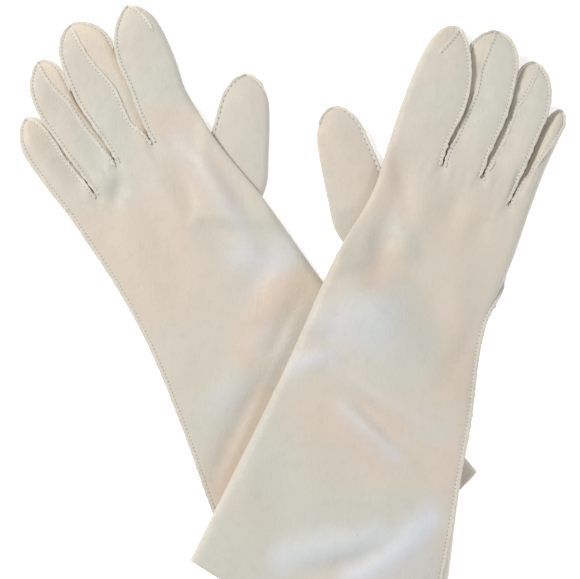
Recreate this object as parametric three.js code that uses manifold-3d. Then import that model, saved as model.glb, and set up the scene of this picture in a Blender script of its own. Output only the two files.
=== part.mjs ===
/**
 * A pair of elbow-length ladies' gloves in cream leather, lying crossed with the palms down:
 * the left glove underneath, the right glove's sleeve draped over the left one's.
 *
 * Units are millimetres and +Z is up. Each glove is drawn as a right glove in its own frame:
 * `across` runs from the thumb side to the little-finger side, `along` from the cuff to the
 * fingertips, and `height` up from the table. The left glove is its mirror image.
 *
 * Every leather piece is a strip of one hollow, flattened section. A place on that section is a
 * `turn`: 0 is the middle of the top, 1 its little-finger end, 2 the little-finger end of the
 * bottom, 3 the middle of the bottom, 4 and 5 the thumb-side ends, and 6 the top again.
 */
import * as THREE from 'three';
import { mergeVertices } from 'three/addons/utils/BufferGeometryUtils.js';
import Module from 'manifold-3d';

const wasm = await Module();
wasm.setup();

// ---------------------------------------------------------------- driving dimensions

const LEATHER = 1.0; // one layer of leather
const GAP = 0.3; // clearance between neighbouring pieces
const GLOVE_HEIGHT = 9.2; // an empty glove at rest, from palm to back
const THUMB_HEIGHT = 7; // the thumb lies flatter, under the edge of the hand
const TIP_HEIGHT = 2.6; // at a fingertip, where the layers meet
const TIP_ROUNDING = 17; // length of a finger's rounded end
const TIP_HALF_WIDTH = 4.5; // where the gathered tip is cut off

const SEAM_WIDTH = 1.0; // two pared edges pressed together
const SEAM_STAND = 1.4; // how far a finger seam stands out of the surface
const SIDE_SEAM_STAND = 1.7; // and the long side seam
const SEAM_DEPTH = 0.7; // how far a seam reaches into the leather

const HEM_DEPTH = 12; // width of the edge turned in at the cuff
const HEM_LEATHER = 0.7; // pared thinner than the sleeve

const FINGER_BASE = 273; // cuff centre to the line where three fingers bend
const LITTLE_BASE = 258; // the little finger bends lower down
const LITTLE_SLOT = [35, 35.9]; // across: where the edge of the hand steps down to it

const THUMB_SWING_IN = 5; // degrees towards the index finger
const THUMB_SWING_OUT = 10; // degrees away from it
const THUMB_ROOT_RADIUS = 20; // clear space around the thumb's pivot
const THUMB_REACH = 80; // past the tip of the thumb

const DRAPE_START = 9; // outside the left glove's edge, where the right glove starts down
const DRAPE_LENGTH = 36; // and how far it takes to reach the table
const DRAPE_LIFT = GLOVE_HEIGHT + 0.6;

// ---------------------------------------------------------------- the two gloves

// Edges are [along, across] points. Both gloves have the same pattern, but lie a little differently.
const RING = {
  base: FINGER_BASE,
  tip: 345,
  thumbSide: [[273, 17.2], [295, 19.7], [309, 21.4], [326, 21], [345, 19.5]],
  littleSide: [[273, 36], [284, 38.3], [300, 40], [316, 42.2], [330, 41], [345, 38]],
};

const RIGHT = {
  name: 'right',
  mirror: 1,
  position: [10.7, -154.3],
  lean: -17.1,
  hem: { thumbSide: 19, littleSide: -20 },
  thumbSide: [[19, -76], [143, -56], [206, -48], [250, -38.5], [273, -38.5]],
  littleSide: [[-20, 78], [51, 65], [100, 56], [141, 51], [189, 44], [237, 47.5], [258, 48]],
  sideSeam: (t) => 1.35 - 0.45 * (1 - THREE.MathUtils.smoothstep(t, 0, 0.45)),
  stations: 14,
  columns: 9,
  index: {
    base: FINGER_BASE,
    tip: 350,
    thumbSide: [[273, -38.5], [297, -38], [323, -35.5], [350, -34]],
    littleSide: [[273, -6.4], [305, -3.2], [322, -4.4], [350, -6]],
  },
  middle: {
    base: FINGER_BASE,
    tip: 353,
    thumbSide: [[273, -5.4], [305, -2.2], [322, -3.4], [338, -4.5], [353, -8]],
    littleSide: [[273, 16.2], [295, 18.7], [309, 20.4], [326, 20], [353, 17]],
  },
  ring: RING,
  little: {
    base: LITTLE_BASE,
    tip: 321,
    thumbSide: [[258, 36.8], [273, 37.3], [284, 39.3], [300, 41], [316, 43.2], [321, 43.5]],
    littleSide: [[258, 48], [287, 49.8], [311, 53], [321, 54]],
    backSeam: 0.3,
  },
  thumb: { pivot: [-36, 226], lean: 30, tip: 70 },
};

const LEFT = {
  name: 'left',
  mirror: -1,
  position: [48.5, -120.9],
  lean: 28.96,
  hem: { thumbSide: 22, littleSide: -22 },
  thumbSide: [[22, -75.7], [157, -51.8], [213, -45.4], [264, -37.2], [273, -37]],
  littleSide: [[-22, 75.7], [73, 65], [130, 56], [178, 51], [209, 51], [247, 54], [258, 55]],
  sideSeam: () => 1.35,
  stations: 8,
  columns: 5,
  index: {
    base: FINGER_BASE,
    tip: 345,
    thumbSide: [[273, -37], [289, -36.8], [303, -39.5], [318, -40.7], [345, -41]],
    littleSide: [[273, -6.4], [288, -7.9], [304, -9.8], [321, -10.5], [345, -13.5]],
  },
  middle: {
    base: FINGER_BASE,
    tip: 353,
    thumbSide: [[273, -5.4], [288, -6.9], [304, -8.8], [321, -9.5], [353, -9]],
    littleSide: [[273, 16.2], [295, 18.7], [309, 20.4], [326, 20], [353, 17]],
  },
  ring: RING,
  little: {
    base: LITTLE_BASE,
    tip: 319,
    thumbSide: [[258, 36.8], [276, 37.6], [284, 39.3], [300, 41], [316, 43.2]],
    littleSide: [[258, 55], [280, 59], [302, 62], [319, 62]],
    backSeam: -0.3,
  },
  thumb: { pivot: [-34, 227], lean: 32, tip: 65 },
};

// The thumb's own edges, measured along and across its axis from its pivot, for a 70 mm thumb.
const THUMB_OUTER = [[-14, -12], [2, -18], [20, -18.3], [57, -16.7], [70, -15]];
const THUMB_INNER = [[-14, 10], [4, 14], [30, 15], [44, 12.5], [55, 10.5], [70, 8]];
const THUMB_LENGTH = 70;
const THUMB_ROOT = -14;

// ---------------------------------------------------------------- materials

function leather(colour, roughness) {
  return new THREE.MeshStandardMaterial({ color: colour, roughness, metalness: 0 });
}

const MATERIALS = {
  leather: () => leather('#d8d0c4', 0.62),
  side: () => leather('#d3d0c4', 0.66),
  seam: () => leather('#dddcd3', 0.8),
  lining: () => leather('#cfc5b6', 0.75),
};

// ---------------------------------------------------------------- shape helpers

const { lerp, smoothstep, clamp, degToRad, euclideanModulo } = THREE.MathUtils;
const LEAST_STEP = 0.1; // between neighbouring points round a section

// A smooth curve through [along, across] points, straight on past both ends.
function curveThrough(points) {
  const slope = (a, b) => (b[1] - a[1]) / (b[0] - a[0]);
  const last = points.length - 1;
  const slopes = points.map((point, i) =>
    slope(points[Math.max(i - 1, 0)], points[Math.min(i + 1, last)]));
  return (along) => {
    if (along <= points[0][0]) return points[0][1] + slopes[0] * (along - points[0][0]);
    if (along >= points[last][0]) return points[last][1] + slopes[last] * (along - points[last][0]);
    const i = points.findIndex((point) => point[0] > along) - 1;
    const step = points[i + 1][0] - points[i][0];
    const x = (along - points[i][0]) / step;
    const ease = x * x * (3 - 2 * x);
    return lerp(points[i][1], points[i + 1][1], ease)
      + step * (x * (1 - x) ** 2 * slopes[i] - x * x * (1 - x) * slopes[i + 1]);
  };
}

// How far round the flattened section a turn is, from the middle of its top.
function walkTo(turn, halfFlat, radius) {
  const laps = Math.floor(turn / 6);
  const lap = turn - 6 * laps;
  const flats = clamp(lap, 0, 1) + clamp(lap - 2, 0, 2) + clamp(lap - 5, 0, 1);
  const rounds = clamp(lap - 1, 0, 1) + clamp(lap - 4, 0, 1);
  const lapLength = 4 * halfFlat + 2 * Math.PI * radius;
  return laps * lapLength + flats * halfFlat + rounds * Math.PI * radius;
}

// The point that far round the section, and `lift` off its surface.
function sectionPoint(halfFlat, radius, walked, lift) {
  const lapLength = 4 * halfFlat + 2 * Math.PI * radius;
  const lap = walked - lapLength * Math.floor(walked / lapLength);
  const side = lap <= lapLength / 2 ? 1 : -1;
  const half = side > 0 ? lap : lapLength - lap;
  const bend = clamp((half - halfFlat) / radius, 0, Math.PI);
  const flat = Math.min(half, halfFlat) - Math.max(half - halfFlat - Math.PI * radius, 0);
  const reach = radius + lift;
  return { x: side * (flat + reach * Math.sin(bend)), z: reach * Math.cos(bend) };
}

// One row of a piece: the points at these turns round an outline, at t along it. The row stops
// `margins` short of its first and last turn, and its points keep their order where it is narrow.
function rowOn(outline, t, turns, margins, lift) {
  const middle = outline.along(t, 0.5);
  const width = outline.littleSide(middle) - outline.thumbSide(middle);
  const radius = Math.min(outline.height(middle), width - 0.4) / 2;
  const halfFlat = width / 2 - radius;
  const walks = turns.map((turn) => walkTo(turn, halfFlat, radius));
  const end = walks.length - 1;
  walks[0] += margins[0];
  walks[end] -= margins[1];
  return walks.map((walk, j) => {
    const walked = clamp(walk, walks[0] + j * LEAST_STEP, walks[end] - (end - j) * LEAST_STEP);
    const { x, z } = sectionPoint(halfFlat, radius, walked, lift);
    const share = 0.5 + x / width;
    const along = outline.along(t, share);
    const across = lerp(outline.thumbSide(along), outline.littleSide(along), share);
    return outline.place(across, along, radius + z);
  });
}

// A closed solid from two matching grids of points, its outer and inner skins.
function solidFromSkins(outer, inner, wraps) {
  const rows = outer.length;
  const columns = outer[0].length;
  const positions = [...outer.flat(), ...inner.flat()].flatMap((point) => [point.x, point.y, point.z]);
  const skin = (layer, i, j) => layer * rows * columns + i * columns + (j % columns);
  const index = [];
  const quad = (a, b, c, d) => index.push(a, b, c, a, c, d);
  const spans = wraps ? columns : columns - 1;
  for (let j = 0; j < spans; j++) {
    for (let i = 0; i < rows - 1; i++) {
      quad(skin(0, i, j), skin(0, i, j + 1), skin(0, i + 1, j + 1), skin(0, i + 1, j));
      quad(skin(1, i, j), skin(1, i + 1, j), skin(1, i + 1, j + 1), skin(1, i, j + 1));
    }
    quad(skin(0, 0, j + 1), skin(0, 0, j), skin(1, 0, j), skin(1, 0, j + 1));
    quad(skin(0, rows - 1, j), skin(0, rows - 1, j + 1), skin(1, rows - 1, j + 1), skin(1, rows - 1, j));
  }
  for (let i = 0; i < rows - 1 && !wraps; i++) {
    const end = columns - 1;
    quad(skin(0, i, 0), skin(0, i + 1, 0), skin(1, i + 1, 0), skin(1, i, 0));
    quad(skin(0, i + 1, end), skin(0, i, end), skin(1, i, end), skin(1, i + 1, end));
  }
  const geometry = new THREE.BufferGeometry();
  geometry.setAttribute('position', new THREE.Float32BufferAttribute(positions, 3));
  geometry.setIndex(index);
  return geometry;
}

// A strip of leather through the turns given at each station, from `lift` down to `lift - wall`.
function strip(outline, stations, turnsAt, { margins = [0, 0], wall = LEATHER, lift = 0, wraps = false } = {}) {
  const grid = (height) => stations.map((t) => rowOn(outline, t, turnsAt(t), margins, height));
  return solidFromSkins(grid(lift), grid(lift - wall), wraps);
}

// Evenly spaced numbers from the first to the last.
function evenly(first, last, steps) {
  return Array.from({ length: steps + 1 }, (_, i) => lerp(first, last, i / steps));
}

// Two pressed edges standing out of the surface along one turn.
function seam(outline, stations, turnAt, stand) {
  const shape = { margins: [-SEAM_WIDTH / 2, -SEAM_WIDTH / 2], wall: stand + SEAM_DEPTH, lift: stand };
  return strip(outline, stations, (t) => [turnAt(t), turnAt(t)], shape);
}

// ---------------------------------------------------------------- outlines

// The right glove's height off the table: it rides over the left glove and drapes down beside it.
function drapeHeight(glove, across, along) {
  if (glove === LEFT) return 0;
  const turn = degToRad(glove.lean);
  const x = glove.position[0] + across * Math.cos(turn) - along * Math.sin(turn);
  const y = glove.position[1] + across * Math.sin(turn) + along * Math.cos(turn);
  const back = degToRad(LEFT.lean);
  const dx = x - LEFT.position[0];
  const dy = y - LEFT.position[1];
  const leftAcross = -(dx * Math.cos(back) + dy * Math.sin(back));
  const leftAlong = dy * Math.cos(back) - dx * Math.sin(back);
  const pastThumbSide = LEFT_THUMB_SIDE(leftAlong) - leftAcross;
  const pastLittleSide = leftAcross - LEFT_LITTLE_SIDE(leftAlong);
  const pastHem = hemLine(LEFT, 0.5 + leftAcross / LEFT_CUFF_WIDTH) - leftAlong;
  const pastSides = Math.max(pastThumbSide, pastLittleSide, 0);
  const outside = Math.hypot(pastSides, Math.max(pastHem, 0));
  return DRAPE_LIFT * (1 - smoothstep(outside, DRAPE_START, DRAPE_START + DRAPE_LENGTH));
}

const LEFT_THUMB_SIDE = curveThrough(LEFT.thumbSide);
const LEFT_LITTLE_SIDE = curveThrough(LEFT.littleSide);
const LEFT_CUFF_WIDTH = LEFT.littleSide[0][1] - LEFT.thumbSide[0][1];

function hemLine(glove, share) {
  return lerp(glove.hem.thumbSide, glove.hem.littleSide, share);
}

function handOutline(glove) {
  const thumbSide = curveThrough(glove.thumbSide);
  const littleSide = curveThrough(glove.littleSide);
  const shareAt = (across) =>
    (across - thumbSide(FINGER_BASE)) / (littleSide(LITTLE_BASE) - thumbSide(FINGER_BASE));
  const [slotStart, slotEnd] = LITTLE_SLOT.map(shareAt);
  const knuckles = (share) => {
    const step = clamp((share - slotStart) / (slotEnd - slotStart), 0, 1);
    return lerp(FINGER_BASE, LITTLE_BASE, step);
  };
  return {
    thumbSide,
    littleSide,
    slots: [slotStart, slotEnd],
    height: () => GLOVE_HEIGHT,
    along: (t, share) => lerp(hemLine(glove, share), knuckles(share), t),
    place: (across, along, height) =>
      new THREE.Vector3(across, along, height + drapeHeight(glove, across, along)),
  };
}

// The width left at distance `along` of a shape that ends in a rounded tip.
function tipShare(along, tip) {
  const x = clamp((along - tip + TIP_ROUNDING) / TIP_ROUNDING, 0, 1);
  return Math.sqrt(1 - x * x);
}

function roundedOutline({ base, tip, thumbSide, littleSide, fullHeight, place }) {
  const thumbEdge = curveThrough(thumbSide);
  const littleEdge = curveThrough(littleSide);
  const edge = (along, side) => {
    const centre = (thumbEdge(along) + littleEdge(along)) / 2;
    const half = (littleEdge(along) - thumbEdge(along)) / 2;
    return centre + side * Math.max(half * tipShare(along, tip), TIP_HALF_WIDTH);
  };
  return {
    thumbSide: (along) => edge(along, -1),
    littleSide: (along) => edge(along, 1),
    height: (along) => lerp(TIP_HEIGHT, fullHeight, tipShare(along, tip)),
    along: (t) => lerp(base, tip, t),
    place,
  };
}

function fingerOutline(glove, finger) {
  return roundedOutline({
    ...finger,
    base: finger.base + GAP + 0.1,
    fullHeight: GLOVE_HEIGHT,
    place: (across, along, height) =>
      new THREE.Vector3(across, along, height + drapeHeight(glove, across, along)),
  });
}

function turnedAbout(pivot, degrees, across, along) {
  const turn = degToRad(degrees);
  return [
    pivot[0] + across * Math.cos(turn) - along * Math.sin(turn),
    pivot[1] + across * Math.sin(turn) + along * Math.cos(turn),
  ];
}

function thumbOutline(glove) {
  const { pivot, lean, tip } = glove.thumb;
  const stretch = ([along, across]) => [along > 0 ? along * tip / THUMB_LENGTH : along, across];
  return roundedOutline({
    base: THUMB_ROOT,
    tip,
    thumbSide: THUMB_OUTER.map(stretch),
    littleSide: THUMB_INNER.map(stretch),
    fullHeight: THUMB_HEIGHT,
    place: (across, along, height) => new THREE.Vector3(...turnedAbout(pivot, lean, across, along), height),
  });
}

// Stations along a shape with a rounded tip: a few on its body, then closer round the end.
function tipStations(outline) {
  const length = outline.along(1) - outline.along(0);
  const rounding = TIP_ROUNDING / length;
  const body = evenly(0, 1 - rounding, 3);
  const round = [35, 65, 90].map((angle) => 1 - rounding * (1 - Math.sin(degToRad(angle))));
  return [...body, ...round];
}

// ---------------------------------------------------------------- the thumb hole

function toManifold(geometry) {
  const merged = mergeVertices(geometry);
  return new wasm.Manifold(new wasm.Mesh({
    numProp: 3,
    vertProperties: new Float32Array(merged.attributes.position.array),
    triVerts: new Uint32Array(merged.index.array),
  }));
}

function fromManifold(solid) {
  const mesh = solid.getMesh();
  const geometry = new THREE.BufferGeometry();
  geometry.setAttribute('position', new THREE.BufferAttribute(mesh.vertProperties, 3));
  geometry.setIndex(new THREE.BufferAttribute(mesh.triVerts, 1));
  return geometry;
}

// The fan that the thumb sweeps under the edge of the hand, which is left open in the palm.
function thumbFan(glove) {
  const { pivot, lean } = glove.thumb;
  const inner = lean - THUMB_SWING_IN;
  const outer = lean + THUMB_SWING_OUT;
  const innerHalf = 17;
  const outerHalf = 19;
  const shape = new THREE.Shape();
  shape.moveTo(...turnedAbout(pivot, inner, innerHalf, THUMB_REACH));
  shape.lineTo(...turnedAbout(pivot, inner, innerHalf, 0));
  for (const angle of evenly(inner, outer - 180, 6)) {
    shape.lineTo(...turnedAbout(pivot, angle, THUMB_ROOT_RADIUS, 0));
  }
  shape.lineTo(...turnedAbout(pivot, outer, -outerHalf, 0));
  shape.lineTo(...turnedAbout(pivot, outer, -outerHalf, THUMB_REACH));
  const below = 1;
  const depth = below + THUMB_HEIGHT + 2 * GAP;
  const fan = new THREE.ExtrudeGeometry(shape, { depth, bevelEnabled: false });
  fan.translate(0, 0, -below);
  fan.deleteAttribute('normal');
  fan.deleteAttribute('uv');
  return fan;
}

// ---------------------------------------------------------------- the pieces of a glove

const HALF_SLIT = SEAM_WIDTH / 2 + GAP; // leather stops this far from the middle of a standing seam
const ROUND_STEPS = 4; // faces on each rounded edge of the hand and sleeve
const STEPS_PER_TURN = 3; // faces of a finger piece for each turn that it covers
const LITTLE_SIDE_SEAM = 1.35; // the little finger's share of the side seam
const PALM_SEAM = { littleSide: 2.1, thumbSide: 3.9 };
const THUMB_SEAM = 1.35;

// Turns across the flat back of the hand, with one at each end of the step to the little finger.
function flatTurns(glove, outline) {
  const width = outline.littleSide(LITTLE_BASE) - outline.thumbSide(FINGER_BASE);
  const turnAt = (share) => (share - 0.5) / (0.5 - GLOVE_HEIGHT / 2 / width);
  const [slotStart, slotEnd] = outline.slots.map(turnAt);
  return [...evenly(-1, slotStart, glove.columns), slotEnd];
}

// Stations from the cuff to the knuckles, with one at the inner edge of the hem.
function handStations(glove) {
  return [0, ...evenly(HEM_DEPTH / FINGER_BASE, 1, glove.stations)];
}

// One folded sheet: the back and the palm of the hand and sleeve, with the thumb's hole in it.
function trank(glove, outline) {
  const flats = flatTurns(glove, outline);
  const turnsAt = (t) => {
    const seamTurn = glove.sideSeam(t);
    return [
      seamTurn,
      ...evenly(Math.max(seamTurn + 0.05, 1), 2, ROUND_STEPS),
      ...flats.map((turn) => 3 - turn).reverse(),
      ...evenly(4, 5, ROUND_STEPS).slice(1, -1),
      ...flats.map((turn) => 6 + turn),
      ...evenly(Math.min(seamTurn - 0.05, 1), seamTurn, 2).map((turn) => 6 + turn),
    ];
  };
  const sheet = strip(outline, handStations(glove), turnsAt, { margins: [HALF_SLIT, HALF_SLIT] });
  return fromManifold(toManifold(sheet).subtract(toManifold(thumbFan(glove))));
}

// The sleeve's edge, turned in at the cuff: a band inside it, all the way round.
function cuffHem(glove, outline) {
  const flats = flatTurns(glove, outline);
  const turns = [
    ...evenly(1, 2, ROUND_STEPS),
    ...flats.map((turn) => 3 - turn).reverse(),
    ...evenly(4, 5, ROUND_STEPS).slice(1, -1),
    ...flats.map((turn) => 6 + turn),
  ];
  const inside = LEATHER + GAP + 0.1;
  const stations = [GAP / FINGER_BASE, HEM_DEPTH / FINGER_BASE];
  return strip(outline, stations, () => turns, { wall: HEM_LEATHER, lift: -inside, wraps: true });
}

// A finger or thumb piece between two of the finger's seams, `from` and `to`.
function fingerPiece(outline, from, to, standing) {
  const steps = Math.ceil((to - from) * STEPS_PER_TURN);
  const lapOf = (turn) => euclideanModulo(turn, 6);
  const isStanding = (turn) => standing.some((seamTurn) => Math.abs(lapOf(seamTurn) - lapOf(turn)) < 0.001);
  const margins = [from, to].map((turn) => (isStanding(turn) ? HALF_SLIT : GAP / 2));
  return strip(outline, tipStations(outline), () => evenly(from, to, steps), { margins });
}

// The seams of each finger, going round from the back, and the pieces between them.
function fingerPattern(name, finger) {
  const { littleSide, thumbSide } = PALM_SEAM;
  if (name === 'index') {
    const back = 0.9;
    return {
      pieces: { side: [back, littleSide], panel: [littleSide, back + 6] },
      seams: { seam: back },
    };
  }
  if (name === 'little') {
    return {
      pieces: {
        palm: [LITTLE_SIDE_SEAM, thumbSide],
        side: [thumbSide, finger.backSeam + 6],
        back: [finger.backSeam, LITTLE_SIDE_SEAM],
      },
      seams: { seam: finger.backSeam, outer_seam: LITTLE_SIDE_SEAM },
    };
  }
  const backSeams = { inner: 5.6, outer: 0.9 };
  return {
    pieces: {
      outer_side: [backSeams.outer, littleSide],
      palm: [littleSide, thumbSide],
      inner_side: [thumbSide, backSeams.inner],
      back: [backSeams.inner, backSeams.outer + 6],
    },
    seams: { inner_seam: backSeams.inner, outer_seam: backSeams.outer },
  };
}

function fingerGeometries(glove, name) {
  const finger = glove[name];
  const outline = fingerOutline(glove, finger);
  const { pieces, seams } = fingerPattern(name, finger);
  const standing = Object.values(seams);
  const geometries = {};
  for (const [piece, [from, to]] of Object.entries(pieces)) {
    geometries[`${name}_${piece}`] = fingerPiece(outline, from, to, standing);
  }
  for (const [piece, turn] of Object.entries(seams)) {
    geometries[`${name}_${piece}`] = seam(outline, tipStations(outline), () => turn, SEAM_STAND);
  }
  return geometries;
}

function thumbGeometries(glove) {
  const outline = thumbOutline(glove);
  return {
    thumb_panel: fingerPiece(outline, THUMB_SEAM, THUMB_SEAM + 6, [THUMB_SEAM]),
    thumb_seam: seam(outline, tipStations(outline), () => THUMB_SEAM, SEAM_STAND),
  };
}

function gloveGeometries(glove) {
  const outline = handOutline(glove);
  return {
    trank: trank(glove, outline),
    cuff_hem: cuffHem(glove, outline),
    side_seam: seam(outline, handStations(glove), glove.sideSeam, SIDE_SEAM_STAND),
    ...thumbGeometries(glove),
    ...fingerGeometries(glove, 'index'),
    ...fingerGeometries(glove, 'middle'),
    ...fingerGeometries(glove, 'ring'),
    ...fingerGeometries(glove, 'little'),
  };
}

// ---------------------------------------------------------------- assembly

function materialFor(piece) {
  if (piece.endsWith('seam')) return MATERIALS.seam();
  if (piece.endsWith('side')) return MATERIALS.side();
  if (piece.endsWith('hem')) return MATERIALS.lining();
  return MATERIALS.leather();
}

// Six times the signed volume of a closed mesh: negative when its faces point inwards.
function signedVolume(position, index) {
  const corner = (i) => new THREE.Vector3().fromBufferAttribute(position, index.getX(i));
  let sum = 0;
  for (let i = 0; i < index.count; i += 3) {
    sum += corner(i).dot(corner(i + 1).cross(corner(i + 2)));
  }
  return sum;
}

// Mirrors the left glove's pieces, and turns every solid's faces outwards.
function finished(geometry, mirror) {
  geometry.scale(mirror, 1, 1);
  const { index } = geometry;
  if (signedVolume(geometry.attributes.position, index) < 0) {
    for (let i = 0; i < index.count; i += 3) {
      const second = index.getX(i + 1);
      index.setX(i + 1, index.getX(i + 2));
      index.setX(i + 2, second);
    }
  }
  geometry.computeVertexNormals();
  return geometry;
}

function buildGlove(glove) {
  const group = new THREE.Group();
  for (const [piece, geometry] of Object.entries(gloveGeometries(glove))) {
    const mesh = new THREE.Mesh(finished(geometry, glove.mirror), materialFor(piece));
    mesh.name = `${glove.name}_${piece}`;
    group.add(mesh);
  }
  group.position.set(...glove.position, 0);
  group.rotation.z = degToRad(glove.lean);
  return group;
}

const gloves = new THREE.Group();
gloves.add(buildGlove(LEFT), buildGlove(RIGHT));

export default gloves;
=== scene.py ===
"""A pair of elbow-length ladies' gloves in cream kid leather, crossed and seen from above.

The gloves are drawn in the same frame as the CAD model. Shapes are worked out in millimetres in
each glove's own frame: `across` runs from the thumb side to the little-finger side, `along` from
the cuff to the fingertips, and `height` up from the table. The left glove is the mirror image.

A place round a hollow, flattened section is a `turn`: -1 to 1 goes over the top towards the
little-finger side, 1 to 2 round that side, 2 to 4 back under the palm, 4 to 5 up the thumb side.
"""

import math

import bmesh
import bpy
import numpy as np
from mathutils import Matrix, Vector, noise


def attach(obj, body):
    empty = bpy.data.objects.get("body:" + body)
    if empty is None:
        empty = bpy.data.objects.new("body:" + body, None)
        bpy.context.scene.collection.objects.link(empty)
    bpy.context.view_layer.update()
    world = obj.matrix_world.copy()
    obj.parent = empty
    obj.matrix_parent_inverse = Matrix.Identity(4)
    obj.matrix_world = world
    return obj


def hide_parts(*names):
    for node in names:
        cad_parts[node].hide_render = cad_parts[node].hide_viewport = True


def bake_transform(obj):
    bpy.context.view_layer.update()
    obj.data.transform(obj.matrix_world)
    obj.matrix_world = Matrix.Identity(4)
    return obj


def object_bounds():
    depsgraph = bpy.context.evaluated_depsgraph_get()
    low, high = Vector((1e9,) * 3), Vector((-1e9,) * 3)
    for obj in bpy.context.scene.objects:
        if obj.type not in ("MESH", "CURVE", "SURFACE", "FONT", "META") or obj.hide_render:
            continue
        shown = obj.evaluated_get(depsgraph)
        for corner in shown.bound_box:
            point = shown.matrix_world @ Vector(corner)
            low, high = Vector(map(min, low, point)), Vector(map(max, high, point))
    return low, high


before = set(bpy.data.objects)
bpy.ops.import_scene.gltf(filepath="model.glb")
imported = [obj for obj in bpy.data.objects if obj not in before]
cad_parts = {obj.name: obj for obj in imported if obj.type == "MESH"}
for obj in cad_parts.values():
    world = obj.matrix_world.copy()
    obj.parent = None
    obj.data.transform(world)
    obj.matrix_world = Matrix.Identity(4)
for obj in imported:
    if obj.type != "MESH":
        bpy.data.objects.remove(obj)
cad_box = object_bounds()

# -------------------- driving dimensions, mm

MM = 0.001
LEATHER = 1.0
GLOVE_HEIGHT = 9.2
THUMB_HEIGHT = 7.0
TIP_HEIGHT = 1.2
TIP_HALF_WIDTH = 0.7
TIP_ROUNDING = 17.0

SEAM_WIDTH = 1.5  # how far a finger's pressed edges stand out past the stitches
SEAM_TILT = 8  # degrees that pressed edges stand up by
SEAM_THICKNESS = 0.9
SEAM_TAIL = 2.6  # how far a finger seam's frayed end runs onto the hand
SIDE_SEAM_WIDTH = 1.8
SIDE_SEAM_TURN = 0.17  # of the way round the side, where the side seam is
HIDDEN_SEAM_TURN = 0.78  # the same, where that seam has turned underneath
HIDDEN_SEAM_TILT = -20
HIDDEN_SEAM_SHARE = 0.3  # of its width that is left there
SEAM_TURNS_IN = (206.0, 250.0)  # where along the right glove it turns underneath
SEAM_ROLLS = (10.0, 125.0)  # where along that glove its rolling onto the top dies away
ROLLED_SEAM_TILT = 6  # degrees more for each millimetre of roll
SIDE_SEAM_WAVINESS = 1.8
STITCH = (0.95, 0.55, 1.1, 2.2)  # length, width and depth of one stitch, and their pitch
THUMB_STITCH = (1.7, 0.6, 1.1, 3.3)
TIP_SEAM = 24.0  # how far a finger's seam comes back down its thumb side, over the tip
THUMB_TIP_SEAM = 9.0
THUMB_SIDE_SEAM = 4.75  # where that is, as a turn
SHARP_EDGE = 50  # degrees between faces that shade as a hard edge

FINGER_BASE = 273.0
LITTLE_BASE = 258.0
V_BOTTOMS = ((-5.9, 273.0), (17.0, 273.0), (36.0, 262.0))  # between the fingers: across, along
BEND_LENGTH = 15.0  # from a finger's base to the further of its two bend points
HAND_LENGTH = 290.0  # roughly, from the cuff to the knuckles
HEM_DEPTH = 13.0
HEM_THICKNESS = 0.7
HAND_COLUMNS = 116
FINGER_TUCK = 5.0  # how far a finger's side folds in under its back

FOLD_DEPTH = 1.25  # how much deeper and narrower every fold is than its entry below says
FOLD_WIDTH = 0.85

DRAPE_START = 9.0
DRAPE_LENGTH = 36.0
DRAPE_LIFT = GLOVE_HEIGHT + 0.6

# -------------------- numbers


def smooth(x, start=0.0, end=1.0):
    """0 before start, 1 after end, and a smooth step between."""
    t = np.clip((np.asarray(x, float) - start) / (end - start), 0, 1)
    return t * t * (3 - 2 * t)


def mix(a, b, share):
    return a + (b - a) * share


def curve(*points):
    """A smooth curve through (along, across) points, straight on past both ends."""
    x, y = np.array(points, float).T
    slopes = np.gradient(y, x)

    def at(along):
        along = np.asarray(along, float)
        i = np.clip(np.searchsorted(x, along) - 1, 0, len(x) - 2)
        step = x[i + 1] - x[i]
        t = np.clip((along - x[i]) / step, 0, 1)
        ease = t * t * (3 - 2 * t)
        inside = mix(y[i], y[i + 1], ease)
        inside = inside + step * (t * (1 - t) ** 2 * slopes[i] - t * t * (1 - t) * slopes[i + 1])
        before = np.minimum(along - x[0], 0) * slopes[0]
        after = np.maximum(along - x[-1], 0) * slopes[-1]
        return inside + before + after

    return at


def distance_to_line(across, along, points):
    """How far places are from a line through points, and how far along it, 0 to 1."""
    best = np.full(np.shape(across), np.inf)
    place = np.zeros(np.shape(across))
    pieces = len(points) - 1
    for i, (start, end) in enumerate(zip(points, points[1:])):
        dx, dy = end[0] - start[0], end[1] - start[1]
        t = ((across - start[0]) * dx + (along - start[1]) * dy) / (dx * dx + dy * dy)
        held = np.clip(t, 0, 1)
        distance = np.hypot(across - start[0] - held * dx, along - start[1] - held * dy)
        nearer = distance < best
        best = np.where(nearer, distance, best)
        place = np.where(nearer, (i + held) / pieces, place)
    return best, place


# -------------------- the two gloves

# Each fold is (width, height, points): a soft ridge, or a valley where height is negative.
RING = dict(
    tip=340.5,
    thumb_side=curve(
        (273, 17), (283, 16.4), (295, 18.2), (309, 19.8), (326, 19), (338, 17.6), (345, 18)),
    little_side=curve(
        (262, 36), (273, 37.2), (284, 38.8), (300, 40.4), (316, 42), (330, 39.8), (345, 35)),
    back_seam=curve(
        (273, 17.2), (281, 18.9), (292, 22), (310, 23.2), (320, 26), (332, 27.6), (345, 27)),
    seam_side=1,
    outer_seam=0.94,
)

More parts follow.
